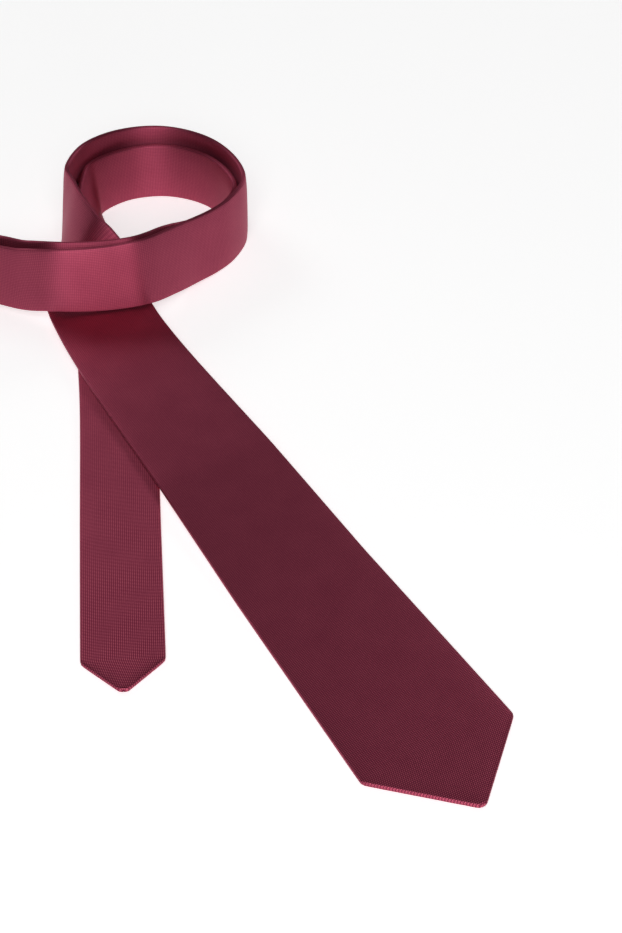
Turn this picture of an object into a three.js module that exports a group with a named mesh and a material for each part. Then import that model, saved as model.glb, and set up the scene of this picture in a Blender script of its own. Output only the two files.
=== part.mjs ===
// A lined necktie, folded in half at the neck and rolled into one standing loop, with both blades
// lying flat in front of it. Millimetres, +Z up. The floor is Z = 0 and the origin is the middle of
// the tie's box on the floor. The tie's own length runs from the front tip (s = 0) to the tail tip.
import * as THREE from 'three';

// ---- cloth and layers ----
const CLOTH = 0.5;               // shell cloth
const LINING = 0.4;              // tipping cloth
const PADDING = 1;               // interlining
const GAP = 0.3;                 // room between neighbouring pieces
const PAD_GAP = 0.5;             // room between the interlining and the shell
const THICK = PADDING + 2 * (CLOTH + PAD_GAP);
const EDGE_ROLL = 1;             // how far the soft side fold reaches in from the edge

// ---- blade and neck widths, and where they are measured from each tip ----
const FRONT = { width: 80, point: 37, blunt: 8, hem: 10, tack: 178 };
const TAIL = { width: 39.5, point: 18, blunt: 5, hem: 7, tack: 105 };
const KNEE_WIDTH = 56;           // front blade where it meets the loop
const KNEE_AT = 350;
const LOOP_WIDTH = 45;           // front half at the back of the loop
const LOOP_AT = 510;
const BAND_WIDTH = 38;           // front half on the standing band
const BAND_AT = 690;
const TAIL_LOOP_AT = 340;
const NECK_WIDTH = 35;
const NECK_AT = 765;

// ---- centre back seam ----
const SEAM_LAP = 4;              // one flap lies this far over the other
const SLIT = 3;                  // the flaps are this far apart at the bar tack
const GROOVE = 1.6;              // open groove beside the lapped flap, which holds the thread
const THREAD_WIDE = 0.8;
const THREAD_DEEP = 0.4;
const TACK_LONG = 8;
const LAP_START = 27;            // the flaps are fully lapped this far past the tack

// ---- small pieces on the back of the front blade ----
const KEEPER = { at: 234, long: 12, wide: 46, cloth: 0.4, bow: 0.8 };
const LABEL = { at: 211, long: 12, wide: 30, cloth: 0.3 };
const STITCH = { wide: 2, deep: 0.25, inset: 1.5 };

// ---- neck seams, cut on the bias ----
const SEAM_PAST_FOLD = 43.8;      // front neck seam from the end of the neck fold
const SEAM_BEFORE_LOOP = 6;      // tail neck seam from where the inner layer meets the loop
const SEAM_SLANT = 0.7;
const SLANT_REACH = 26;
const SEAM_THREAD = 0.4;
const PADDING_JOIN = 52;         // from the front neck seam
const HINGE_GAP = 0.4;

// ---- how the tie lies ----
const FRONT_TIP = new THREE.Vector2(75, -217.3);
const FRONT_HEADING = 119.8;
const FRONT_RUN = 330;
const FRONT_HINGE = FRONT_RUN + 15;
const TAIL_TIP = new THREE.Vector2(-85, -151);
const TAIL_HEADING = 94.1;
const TAIL_RUN = 200;
const TAIL_HINGE = TAIL_RUN + 40;
const GATHER = new THREE.Vector2(-104, 95);   // both blades meet the loop here
const LOOP_RADIUS = 49;
const DRAWN_RADIUS = 49;         // the stops around the loop are laid out for this radius,
const DRAWN_CENTRE = new THREE.Vector2(-85.5, 182);   // and this middle
const LAYER_STEP = 6.2;          // tail half inside the front half, middle to middle
const INNER_LEAN = 8;            // extra lean of the inner layer on the band, degrees
const FOLD_RADIUS = 7;
const FOLD_HEADING = 150;
const FOLD_AT = new THREE.Vector2(-197, 142.5);
const OVER_TAIL = THICK + GAP;   // height of the front blade over the tail blade
const RISE_BEFORE = 68;          // the front blade rises over the tail blade from here
const RISE_PAST = 17;            // to here, measured from where their edges cross
const OVER_BOTH = OVER_TAIL + THICK + 2 * GAP;
const INNER_RISE = 3;            // the inner layer crosses both blades a little higher

const radians = THREE.MathUtils.degToRad;
const lerp = THREE.MathUtils.lerp;
const ramp = (s, from, to) => THREE.MathUtils.clamp((s - from) / (to - from), 0, 1);

function heading(degrees) {
  return new THREE.Vector2(Math.cos(radians(degrees)), Math.sin(radians(degrees)));
}

// A stop on the way: plan position of the ribbon's middle, height of its lowest edge, and roll,
// which is 0 for a ribbon lying flat and 90 for one standing on edge.
const stop = (x, y, lift, roll) => ({ x, y, lift, roll });

// The stops past the gather spread out from it as the loop's radius grows.
const SPREAD = LOOP_RADIUS / DRAWN_RADIUS;
function spread(point) {
  return point.clone().sub(GATHER).multiplyScalar(SPREAD).add(GATHER);
}
const LOOP_CENTRE = spread(DRAWN_CENTRE);

function near(x, y, lift, roll) {
  const spot = spread(new THREE.Vector2(x, y));
  return stop(spot.x, spot.y, lift, roll);
}

function along(start, degrees, distance, lift) {
  const step = heading(degrees).multiplyScalar(distance);
  return stop(start.x + step.x, start.y + step.y, lift, 0);
}

function onLoop(degrees, radius, lift, roll) {
  const arm = heading(degrees).multiplyScalar(radius);
  return stop(LOOP_CENTRE.x + arm.x, LOOP_CENTRE.y + arm.y, lift, roll);
}

// How far along the front blade its left edge crosses the tail blade's right edge.
function edgesCross() {
  const frontWay = heading(FRONT_HEADING);
  const tailWay = heading(TAIL_HEADING);
  const frontEdge = FRONT_TIP.clone()
    .addScaledVector(heading(FRONT_HEADING + 90), FRONT.width / 2);
  const tailEdge = TAIL_TIP.clone().addScaledVector(heading(TAIL_HEADING - 90), TAIL.width / 2);
  return tailEdge.sub(frontEdge).cross(tailWay) / frontWay.cross(tailWay);
}
const RISE_START = edgesCross() - RISE_BEFORE;

const frontBladeStops = [
  along(FRONT_TIP, FRONT_HEADING, 0, 0),
  along(FRONT_TIP, FRONT_HEADING, RISE_START / 2, 0),
  along(FRONT_TIP, FRONT_HEADING, RISE_START, 0),
  along(FRONT_TIP, FRONT_HEADING, RISE_START + RISE_BEFORE + RISE_PAST, OVER_TAIL),
  along(FRONT_TIP, FRONT_HEADING, FRONT_RUN, OVER_TAIL),
  near(-104, 98, OVER_TAIL, 0),
  near(-110, 111, OVER_TAIL, 1),
  near(-113.6, 119, OVER_TAIL, 3),
  near(-115.3, 122.5, OVER_TAIL, 8),
  near(-117, 126, OVER_TAIL, 20),
  near(-121, 132.4, 2.8, 46),
  near(-125, 139.5, 2, 58),
  near(-130.4, 157.5, 1, 71),
  near(-132.6, 171, 0.5, 79),
];

// The doubled stretch: round the loop, then along the leaning band to the neck fold.
const doubledStops = [
  onLoop(176, LOOP_RADIUS, 0, 87),
  onLoop(145, LOOP_RADIUS, 0, 90),
  onLoop(115, LOOP_RADIUS, 0, 90),
  onLoop(85, LOOP_RADIUS, 0, 90),
  onLoop(55, LOOP_RADIUS, 0, 90),
  onLoop(28, LOOP_RADIUS, 0, 90),
  onLoop(5, LOOP_RADIUS, 0, 90),
  near(-44, 167.5, 0, 87),
  near(-53, 156.5, 0.5, 85),
  near(-63, 146.6, 2, 83),
  near(-73.6, 135.1, 5, 80),
  near(-87.4, 122.9, OVER_BOTH + 1, 78),
  near(-102.7, 118.6, OVER_BOTH + 0.5, 78),
  near(-118, 116, OVER_BOTH + 1, 78),
  near(-133, 115, OVER_BOTH + 1.8, 78),
  near(-143.4, 116.6, OVER_BOTH + 1.2, 78),
  near(-154, 120.6, OVER_TAIL + 2, 78),
  near(-168, 126.9, OVER_TAIL + 1, 79),
  near(-184, 135, 2, 84),
];

const tailBladeStops = [
  near(-121, 196, 0, 72),
  near(-117.4, 178, 0, 54),
  near(-112.6, 160, 0, 36),
  near(-109, 141, 0, 11),
  near(-107, 128, 0, 1),
  near(-105.8, 116, 0, 0),
  near(-103.8, 92, 0, 0),
  along(TAIL_TIP, TAIL_HEADING, TAIL_RUN, 0),
  along(TAIL_TIP, TAIL_HEADING, TAIL_RUN / 2, 0),
  along(TAIL_TIP, TAIL_HEADING, 0, 0),
];

const TAIL_JOINS_LOOP = 143;     // the tail half meets its circle at this angle

// The inner layer follows the outer one, a layer step nearer the inside.
function innerStops() {
  const inner = [];
  for (let i = doubledStops.length - 1; i > 0; i -= 1) {
    const here = doubledStops[i];
    const next = doubledStops[Math.min(i + 1, doubledStops.length - 1)];
    const last = doubledStops[i - 1];
    const way = new THREE.Vector2(next.x - last.x, next.y - last.y).normalize();
    const angle = Math.atan2(here.y - LOOP_CENTRE.y, here.x - LOOP_CENTRE.x);
    const onCircle = angle > 0 && here.y > LOOP_CENTRE.y;
    if (onCircle && angle > radians(TAIL_JOINS_LOOP - 12)) continue;
    const leaning = here.roll < 86;
    const rising = here.lift > OVER_TAIL;
    inner.push(stop(
      here.x + way.y * LAYER_STEP,
      here.y - way.x * LAYER_STEP,
      here.lift + (rising ? INNER_RISE : 0),
      180 - here.roll + (leaning ? INNER_LEAN : 0),
    ));
  }
  inner.push(onLoop(TAIL_JOINS_LOOP, LOOP_RADIUS - LAYER_STEP, 0, 84));
  return inner;
}

// The neck fold is a small open bulb, so the two layers leave it side by side.
function foldStops() {
  const way = heading(FOLD_HEADING);
  const inward = new THREE.Vector2(way.y, -way.x);
  const middle = spread(FOLD_AT).addScaledVector(inward, LAYER_STEP / 2);
  return [-90, -30, 30, 90].map((degrees) => {
    const turn = heading(degrees).multiplyScalar(FOLD_RADIUS);
    return stop(
      middle.x + way.x * turn.x + inward.x * turn.y,
      middle.y + way.y * turn.x + inward.y * turn.y,
      0, 90,
    );
  });
}

const stops = [
  ...frontBladeStops, ...doubledStops, ...foldStops(), ...innerStops(), ...tailBladeStops,
];

// ---- the way as a table, one row per millimetre of plan length ----
const SUBDIVIDE = 60;
const planCurve = new THREE.CatmullRomCurve3(
  stops.map((one) => new THREE.Vector3(one.x, one.y, 0)), false, 'centripetal');
planCurve.arcLengthDivisions = (stops.length - 1) * SUBDIVIDE;
const planLengths = planCurve.getLengths();
const LENGTH = planLengths[planLengths.length - 1];
const stopAt = stops.map((one, i) => planLengths[i * SUBDIVIDE]);
const foldStart = stopAt[frontBladeStops.length + doubledStops.length - 1];
const foldEnd = stopAt[frontBladeStops.length + doubledStops.length + 3];
const innerLoop = stopAt[stops.findLastIndex((one) => one.lift > 0) + 1];
const frontSeam = foldEnd + SEAM_PAST_FOLD;
const tailSeam = innerLoop - SEAM_BEFORE_LOOP;

function between(places, values, s) {
  let i = 1;
  while (i < places.length - 1 && places[i] < s) i += 1;
  return lerp(values[i - 1], values[i], ramp(s, places[i - 1], places[i]));
}

const SMOOTHING = 4;             // lift and roll are averaged over this far each way
function smoothed(values, s) {
  let sum = 0;
  for (let d = -SMOOTHING; d <= SMOOTHING; d += 1) sum += between(stopAt, values, s + d);
  return sum / (2 * SMOOTHING + 1);
}
const lifts = stops.map((one) => one.lift);
const rolls = stops.map((one) => one.roll);

const frontWidthAt = [0, FRONT.point, KNEE_AT, LOOP_AT, BAND_AT, NECK_AT];
const frontWidths = [FRONT.blunt, FRONT.width, KNEE_WIDTH, LOOP_WIDTH, BAND_WIDTH, NECK_WIDTH];
const tailWidthAt = [0, TAIL.point, TAIL_HINGE, TAIL_LOOP_AT];
const tailWidths = [TAIL.blunt, TAIL.width, TAIL.width, NECK_WIDTH];

function halfWidth(s) {
  const tailSide = LENGTH - s;
  if (s < NECK_AT) return between(frontWidthAt, frontWidths, s) / 2;
  return between(tailWidthAt, tailWidths, tailSide) / 2;
}

function middleAt(s) {
  const plan = planCurve.getPointAt(THREE.MathUtils.clamp(s / LENGTH, 0, 1));
  const roll = radians(smoothed(rolls, s));
  plan.z = smoothed(lifts, s) + halfWidth(s) * Math.sin(roll) + (THICK / 2) * Math.cos(roll);
  return plan;
}

const UP = new THREE.Vector3(0, 0, 1);
function frameAt(s) {
  const ahead = middleAt(Math.min(s + 1, LENGTH));
  const way = ahead.sub(middleAt(Math.max(s - 1, 0))).normalize();
  const side = new THREE.Vector3().crossVectors(way, UP).normalize();
  const rise = new THREE.Vector3().crossVectors(side, way);
  const roll = radians(smoothed(rolls, s));
  const across = side.multiplyScalar(Math.cos(roll)).addScaledVector(rise, Math.sin(roll));
  const face = new THREE.Vector3().crossVectors(across, way);
  return { middle: middleAt(s), across, face };
}

// ---- rings stand at the same places for every layer, so that layers stay parallel ----
function places() {
  const list = [0];
  const add = (from, to, step) => {
    const count = Math.max(1, Math.round((to - from) / step));
    for (let i = 1; i <= count; i += 1) list.push(lerp(from, to, i / count));
  };
  const frontTwist = stopAt[frontBladeStops.length - 8];
  const loopStart = stopAt[frontBladeStops.length];
  const tailLoop = stopAt[stops.length - tailBladeStops.length - 1];
  const tailFlat = stopAt[stops.length - tailBladeStops.length + 5];
  add(0, FRONT.point, 10);
  add(FRONT.point, FRONT.tack - 4, 34);
  add(FRONT.tack - 4, FRONT.tack + LAP_START, 6);
  add(FRONT.tack + LAP_START, FRONT_HINGE, 28);
  add(FRONT_HINGE, frontTwist, 12);
  add(frontTwist, loopStart, 3);
  add(loopStart, BAND_AT, 9);
  add(BAND_AT, foldStart, 12);
  add(foldStart, frontSeam - SLANT_REACH, 4);
  add(frontSeam - SLANT_REACH, frontSeam + SLANT_REACH, 8);
  add(frontSeam + SLANT_REACH, tailSeam - SLANT_REACH, 8);
  add(tailSeam - SLANT_REACH, tailLoop, 6);
  add(tailLoop, tailFlat, 4);
  add(tailFlat, LENGTH - TAIL_HINGE, 12);
  add(LENGTH - TAIL_HINGE, LENGTH - TAIL.tack - LAP_START, 34);
  add(LENGTH - TAIL.tack - LAP_START, LENGTH - TAIL.tack + 4, 6);
  add(LENGTH - TAIL.tack + 4, LENGTH - TAIL.point, 34);
  add(LENGTH - TAIL.point, LENGTH, 9);
  return list;
}
const ringPlaces = places();
const ringFrames = ringPlaces.map(frameAt);

function place(s, u, h) {
  const at = THREE.MathUtils.clamp(s, 0, LENGTH);
  let i = 1;
  while (i < ringPlaces.length - 1 && ringPlaces[i] < at) i += 1;
  const spot = (frame) => frame.middle.clone()
    .addScaledVector(frame.across, u).addScaledVector(frame.face, h);
  const part = ramp(at, ringPlaces[i - 1], ringPlaces[i]);
  return spot(ringFrames[i - 1]).lerp(spot(ringFrames[i]), part);
}

// ---- one closed solid from a section that runs along the tie ----
// A section with an even number of points is two chains side by side: its end is a ladder.
function ladder(size, first, facesBack) {
  const faces = [];
  for (let i = 0; i < size / 2 - 1; i += 1) {
    const [a, b, c, d] = [i, i + 1, size - 2 - i, size - 1 - i].map((j) => first + j);
    faces.push(...(facesBack ? [a, c, b, a, d, c] : [a, b, c, a, c, d]));
  }
  return faces;
}

// Any other end is triangulated on a slightly crowned copy of its section, because points that
// stand in a straight row would otherwise be left out.
const CROWN = 0.0001;
function cutEnd(section, first, facesBack) {
  const outline = section.map(([u, h]) => new THREE.Vector2(u, h * (1 - CROWN * u * u)));
  return THREE.ShapeUtils.triangulateShape(outline, []).flatMap(([a, b, c]) => {
    const ab = outline[b].clone().sub(outline[a]);
    const clockwise = ab.cross(outline[c].clone().sub(outline[a])) < 0;
    return clockwise === facesBack ? [first + a, first + c, first + b] : [first + a, first + b, first + c];
  });
}

function capFaces(section, first, facesBack) {
  if (section.length % 2 === 0) return ladder(section.length, first, facesBack);
  return cutEnd(section, first, facesBack);
}

// Near a neck seam the rings lean over to the seam's bias, in every layer alike.
const bias = (s) => [frontSeam, tailSeam].reduce(
  (sum, seam) => sum + SEAM_SLANT * (1 - ramp(Math.abs(s - seam), 0, SLANT_REACH)), 0);

// Each quad is cut from its left corner behind to its right corner ahead, on both faces of a
// layer, so that the layers stay parallel where the tie twists.
function sweep(from, to, section) {
  const inside = ringPlaces.filter((s) => s > from + 1.5 && s < to - 1.5);
  const stations = [from, ...inside, to];
  const rings = stations.map(section);
  const size = rings[0].length;
  const points = rings.flatMap((ring, i) => ring.flatMap(([u, h]) => {
    const s = stations[i] + bias(stations[i]) * u;
    return place(s, u, h).toArray();
  }));
  const faces = capFaces(rings[0], 0, true);
  for (let i = 0; i < rings.length - 1; i += 1) {
    for (let j = 0; j < size; j += 1) {
      const next = (j + 1) % size;
      const near = i * size + j;
      const beside = i * size + next;
      if (rings[i][next][0] >= rings[i][j][0]) {
        faces.push(near, beside, beside + size, near, beside + size, near + size);
      } else {
        faces.push(near, beside, near + size, beside, beside + size, near + size);
      }
    }
  }
  faces.push(...capFaces(rings[rings.length - 1], (rings.length - 1) * size, false));
  const geometry = new THREE.BufferGeometry();
  geometry.setAttribute('position', new THREE.Float32BufferAttribute(points, 3));
  geometry.setIndex(faces);
  return geometry;
}

// ---- the shell's section: front, two soft side folds, and two flaps on the back ----
const SEAM_OUTER = SEAM_LAP / 2;                       // free edge of the outer flap
const BEND = SEAM_OUTER + GROOVE;                      // where the inner flap bends inwards
const LAP_DEPTH = CLOTH + GAP;                         // how far it goes in
const PARTED = SLIT / 2;

// Distance from the nearer tip, with that blade's own sizes.
function blade(s) {
  return s < LENGTH / 2 ? { size: FRONT, d: s } : { size: TAIL, d: LENGTH - s };
}

function flapEdges(s) {
  const { size, d } = blade(s);
  const half = halfWidth(s);
  const hemmed = Math.max(half - size.hem, Math.min(PARTED, (half - EDGE_ROLL) / 2));
  const cornerEdge = size.width / 2 - size.hem;
  const opening = lerp(cornerEdge, PARTED, ramp(d, size.point, size.tack - 5));
  const apart = d < size.point ? hemmed : opening;
  const lapped = ramp(d, size.tack + LAP_START - 7, size.tack + LAP_START);
  const bent = ramp(d, size.tack + LAP_START - 20, size.tack + LAP_START - 9);
  const gathered = ramp(d, size.tack - 4, size.tack + LAP_START - 20);
  const reach = half - EDGE_ROLL - apart;
  return {
    outer: lerp(-apart, SEAM_OUTER, lapped),
    inner: lerp(apart, -SEAM_OUTER, lapped),
    bend: lerp(apart + reach / 3, BEND, gathered),
    bendEnd: lerp(apart + (2 * reach) / 3, BEND + 1, gathered),
    depth: LAP_DEPTH * bent,
  };
}

function shellSection(s) {
  const half = halfWidth(s);
  const side = half - EDGE_ROLL;
  const out = THICK / 2;
  const within = out - CLOTH;
  const { outer, inner, bend, bendEnd, depth } = flapEdges(s);
  const quarter = half / 2;
  return [
    [outer, -out], [lerp(-side, outer, 0.45), -out], [-side, -out], [-half, 0],
    [-side, out], [-quarter, out], [0, out], [quarter, out], [side, out],
    [half, 0], [side, -out], [lerp(side, bendEnd, 0.5), -out], [bendEnd, -out],
    [bend, depth - out], [inner, depth - out],
    [inner, depth - within], [bend + CLOTH / 3, depth - within], [bendEnd + CLOTH / 3, -within],
    [lerp(side, bendEnd, 0.5), -within], [side, -within], [half - CLOTH, 0],
    [side, within], [quarter, within], [0, within], [-quarter, within], [-side, within],
    [-half + CLOTH, 0], [-side, -within], [lerp(-side, outer, 0.45), -within], [outer, -within],
  ];
}

const PAD_INSET = CLOTH + PAD_GAP + EDGE_ROLL / 2;
function paddingSection(s) {
  const { size, d } = blade(s);
  const edge = halfWidth(s) - PAD_INSET;
  const top = PADDING / 2;
  const overTipping = LINING + GAP - top;
  const overFlap = LAP_DEPTH + CLOTH + GAP - THICK / 2;
  const past = ramp(d, size.tack + LAP_START - 20, size.tack + LAP_START - 9);
  const floor = lerp(overTipping, -top, past);
  const channel = lerp(overTipping, overFlap, past);
  const wide = Math.min(1, edge / (2 * BEND + 4));
  const left = -(SEAM_OUTER + 2 * GAP) * wide;
  const right = (BEND + 1 + 3 * GAP) * wide;
  const quarter = edge / 2;
  return [
    [-edge, floor], [-edge, top], [-quarter, top], [0, top], [quarter, top], [edge, top],
    [edge, floor], [lerp(edge, right, 0.5), floor], [right, floor], [right - wide * GAP, channel],
    [left + wide * GAP, channel], [left, floor], [lerp(-edge, left, 0.5), floor],
  ];
}

function tippingSection(s) {
  const edge = halfWidth(s) - PAD_INSET;
  const low = -PADDING / 2;
  return [[-edge, low], [-edge, low + LINING], [edge, low + LINING], [edge, low]];
}

const barSection = (left, right, low, high) => () => [
  [left, low], [left, high], [right, high], [right, low],
];

const THREAD_MIDDLE = SEAM_OUTER + GROOVE / 2;
const threadSection = barSection(
  THREAD_MIDDLE - THREAD_WIDE / 2, THREAD_MIDDLE + THREAD_WIDE / 2,
  -THICK / 2, -THICK / 2 + THREAD_DEEP);

function keeperSection() {
  const end = KEEPER.wide / 2;
  const top = -THICK / 2 - GAP;
  const flat = end - 3 * STITCH.wide;
  const bowed = flat - 5;
  const upper = [[-end, top], [-flat, top], [-bowed, top - KEEPER.bow],
    [bowed, top - KEEPER.bow], [flat, top], [end, top]];
  const lower = upper.map(([u, h]) => [u, h - KEEPER.cloth]).reverse();
  return [...upper, ...lower];
}

// ---- finishes ----
function finish(color, roughness) {
  return new THREE.MeshStandardMaterial({ color, roughness, metalness: 0 });
}
const SHELL = 0x7a2f42;
const PAD = 0xd9d2c4;
const TIPPING = 0x5a1f2e;
const THREAD = 0x6a2536;
const TAPE = 0xe6e0d6;

const group = new THREE.Group();
function add(name, geometry, color, roughness) {
  const mesh = new THREE.Mesh(geometry, finish(color, roughness));
  mesh.name = name;
  group.add(mesh);
}

// ---- shells ----
const seamRoom = SEAM_THREAD / 2 + GAP;
const tailHinge = LENGTH - TAIL_HINGE;
const paddingJoin = frontSeam + PADDING_JOIN;

add('front_shell_blade', sweep(0, FRONT_HINGE, shellSection), SHELL, 0.5);
add('front_shell_band',
  sweep(FRONT_HINGE + HINGE_GAP, frontSeam - seamRoom, shellSection), SHELL, 0.5);
add('neck_gusset_shell',
  sweep(frontSeam + seamRoom, tailSeam - seamRoom, shellSection), SHELL, 0.5);
add('tail_shell_band',
  sweep(tailSeam + seamRoom, tailHinge - HINGE_GAP, shellSection), SHELL, 0.5);
add('tail_shell_blade', sweep(tailHinge, LENGTH, shellSection), SHELL, 0.5);

// ---- seam stitching between the shell panels ----
for (const [name, seam] of [['front_neck_seam', frontSeam], ['tail_neck_seam', tailSeam]]) {
  const half = SEAM_THREAD / 2;
  add(name, sweep(seam - half, seam + half, shellSection), THREAD, 0.6);
}

// ---- interlinings ----
const PAD_START = 4;
add('front_interlining_blade', sweep(PAD_START, FRONT_HINGE, paddingSection), PAD, 0.95);
add('front_interlining_band',
  sweep(FRONT_HINGE + HINGE_GAP, paddingJoin, paddingSection), PAD, 0.95);
add('tail_interlining_band',
  sweep(paddingJoin + GAP, tailHinge - HINGE_GAP, paddingSection), PAD, 0.95);
add('tail_interlining_blade', sweep(tailHinge, LENGTH - PAD_START, paddingSection), PAD, 0.95);

// ---- tippings ----
const TIPPING_START = 5;
const TIPPING_END = LAP_START - 21;
add('front_tipping',
  sweep(TIPPING_START, FRONT.tack + TIPPING_END, tippingSection), TIPPING, 0.4);
add('tail_tipping',
  sweep(LENGTH - TAIL.tack - TIPPING_END, LENGTH - TIPPING_START, tippingSection), TIPPING, 0.4);

// ---- bar tacks in the slit between the flaps ----
const tackSection = barSection(-PARTED + GAP, PARTED - GAP, -THICK / 2, -THICK / 2 + CLOTH);
for (const [name, at] of [['front_bar_tack', FRONT.tack], ['tail_bar_tack', LENGTH - TAIL.tack]]) {
  add(name, sweep(at - TACK_LONG / 2, at + TACK_LONG / 2, tackSection), THREAD, 0.6);
}

// ---- slip stitch thread ----
const frontSewn = FRONT.tack + LAP_START;
const tailSewn = LENGTH - TAIL.tack - LAP_START;
add('front_slip_stitch', sweep(frontSewn, FRONT_HINGE, threadSection), THREAD, 0.6);
add('neck_slip_stitch',
  sweep(FRONT_HINGE + HINGE_GAP, tailHinge - HINGE_GAP, threadSection), THREAD, 0.6);
add('tail_slip_stitch', sweep(tailHinge, tailSewn, threadSection), THREAD, 0.6);

// ---- keeper loop and blank label, each sewn down at both ends ----
const back = -THICK / 2 - GAP;
add('keeper_loop',
  sweep(KEEPER.at - KEEPER.long / 2, KEEPER.at + KEEPER.long / 2, keeperSection), SHELL, 0.5);
add('care_label',
  sweep(LABEL.at - LABEL.long / 2, LABEL.at + LABEL.long / 2,
    barSection(-LABEL.wide / 2, LABEL.wide / 2, back - LABEL.cloth, back)), TAPE, 0.8);

function stitches(name, tape) {
  const top = back - tape.cloth - GAP;
  const reach = tape.long / 2 - STITCH.inset;
  for (const [side, sign] of [['left', -1], ['right', 1]]) {
    const middle = sign * (tape.wide / 2 - STITCH.inset - STITCH.wide / 2);
    const section = barSection(
      middle - STITCH.wide / 2, middle + STITCH.wide / 2, top - STITCH.deep, top);
    add(`${name}_${side}`, sweep(tape.at - reach, tape.at + reach, section), THREAD, 0.6);
  }
}
stitches('keeper_tack', KEEPER);
stitches('label_stitch', LABEL);

// ---- the origin is the middle of the box, on the floor ----
const box = new THREE.Box3().setFromObject(group);
const middle = box.getCenter(new THREE.Vector3());
group.position.set(-middle.x, -middle.y, -box.min.z);

export default group;
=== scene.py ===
# %% [markdown]
# # A necktie, folded in half and rolled into a standing loop
#
# A lined necktie is three panels of woven cloth sewn end to end, folded round a strip of wool
# interlining and closed down the back with one long slip stitch. Both pointed ends are lined with
# a smooth tipping cloth. Here the tie is folded in half at the neck and rolled, so a doubled band
# stands on its edge as a loop, and the two blades lie flat in front of it.
#
# The frame below is the tie's working model: its solids, its bodies and its joints. Everything
# that follows is made in metres around that frame, and nothing in the frame is moved.

# %% Load the frame
import math

import bpy
import numpy as np
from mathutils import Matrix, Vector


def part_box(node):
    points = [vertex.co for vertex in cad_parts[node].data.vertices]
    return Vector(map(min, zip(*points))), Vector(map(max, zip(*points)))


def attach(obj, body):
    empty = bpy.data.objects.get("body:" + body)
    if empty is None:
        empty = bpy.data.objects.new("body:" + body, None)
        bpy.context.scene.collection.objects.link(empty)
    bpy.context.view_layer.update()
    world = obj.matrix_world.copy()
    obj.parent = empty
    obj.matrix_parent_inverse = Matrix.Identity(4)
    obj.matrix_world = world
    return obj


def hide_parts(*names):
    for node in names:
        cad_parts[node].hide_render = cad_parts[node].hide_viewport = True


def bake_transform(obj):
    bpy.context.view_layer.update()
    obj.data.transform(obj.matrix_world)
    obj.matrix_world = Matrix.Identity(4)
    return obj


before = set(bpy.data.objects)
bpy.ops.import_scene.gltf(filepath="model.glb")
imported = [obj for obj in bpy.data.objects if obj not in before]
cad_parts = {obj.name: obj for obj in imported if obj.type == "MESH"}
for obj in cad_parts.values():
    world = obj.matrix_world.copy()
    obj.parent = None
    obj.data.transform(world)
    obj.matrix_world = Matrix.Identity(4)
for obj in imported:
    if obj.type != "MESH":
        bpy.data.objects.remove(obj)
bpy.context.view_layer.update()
MM = 0.001

# %% [markdown]
# ## The camera and the floor
#
# The camera stands in front of the tie and looks down at the floor at 43 degrees, from 1.2 m
# away, through a long lens that hardly bends straight lines. The picture is taller than wide, so
# the lens is given for the sensor's height. The aim is a point on the floor a little to the right
# of the tie's middle, which lets the fold run out of the picture on the left.

# %% Camera
CAMERA_TILT = math.radians(43)
CAMERA_AWAY = 1.2
CAMERA_AIM = (0.05627, -0.00658, 0.0)
LENS = 92.6
SENSOR = 36

bpy.ops.object.camera_add(
    location=(
        CAMERA_AIM[0],
        CAMERA_AIM[1] - CAMERA_AWAY * math.cos(CAMERA_TILT),
        CAMERA_AWAY * math.sin(CAMERA_TILT),
    ),
    rotation=(math.pi / 2 - CAMERA_TILT, 0, 0),
)
camera = bpy.context.object
camera.data.sensor_fit = "VERTICAL"
camera.data.sensor_height = SENSOR
camera.data.lens = LENS
bpy.context.scene.camera = camera
print("camera at", [round(x, 3) for x in camera.location])

# %% [markdown]
# ## Small helpers for shader nodes
#
# A material is a graph of nodes. These helpers add a node, join sockets and write a sum, so that
# each finish further down reads as a short recipe. A value that is the same all over a surface is
# set on the shader's own socket.

# %% Node helpers
def new_material(name):
    """A material with a bare shader, and its node tree."""
    material = bpy.data.materials.new(name)
    material.use_nodes = True
    return material, material.node_tree


def shader_of(tree):
    return next(n for n in tree.nodes if n.type == "BSDF_PRINCIPLED")


def add_node(tree, kind, **settings):
    node = tree.nodes.new(kind)
    for key, value in settings.items():
        setattr(node, key, value)
    return node


def wire(tree, source, target):
    """Join an output to an input, or set the input to a plain value."""
    if isinstance(source, (int, float, tuple)):
        target.default_value = source
    else:
        tree.links.new(source, target)


def calc(tree, operation, *values, clamp=False):
    """One step of arithmetic on sockets or numbers."""
    node = add_node(tree, "ShaderNodeMath", operation=operation, use_clamp=clamp)
    for value, socket in zip(values, node.inputs):
        wire(tree, value, socket)
    return node.outputs[0]


def mix_colors(tree, share, low, high):
    node = add_node(tree, "ShaderNodeMix", data_type="RGBA")
    wire(tree, share, node.inputs["Factor"])
    wire(tree, low, node.inputs["A"])
    wire(tree, high, node.inputs["B"])
    return node.outputs["Result"]


def mix_values(tree, share, low, high):
    node = add_node(tree, "ShaderNodeMix", data_type="FLOAT", clamp_factor=True)
    wire(tree, share, node.inputs["Factor"])
    wire(tree, low, node.inputs["A"])
    wire(tree, high, node.inputs["B"])
    return node.outputs["Result"]


def noise(tree, place, scale, detail=2.0, roughness=0.5):
    node = add_node(tree, "ShaderNodeTexNoise")
    node.inputs["Scale"].default_value = scale
    node.inputs["Detail"].default_value = detail
    node.inputs["Roughness"].default_value = roughness
    wire(tree, place, node.inputs["Vector"])
    return node.outputs["Fac"]


def cloth_place(tree):
    """The cloth's own coordinates, in metres: across the tie, and along it."""
    return add_node(tree, "ShaderNodeUVMap", uv_map="UVMap").outputs["UV"]


def across_and_along(tree):
    split = add_node(tree, "ShaderNodeSeparateXYZ")
    wire(tree, cloth_place(tree), split.inputs[0])
    return split.outputs[0], split.outputs[1]


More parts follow.
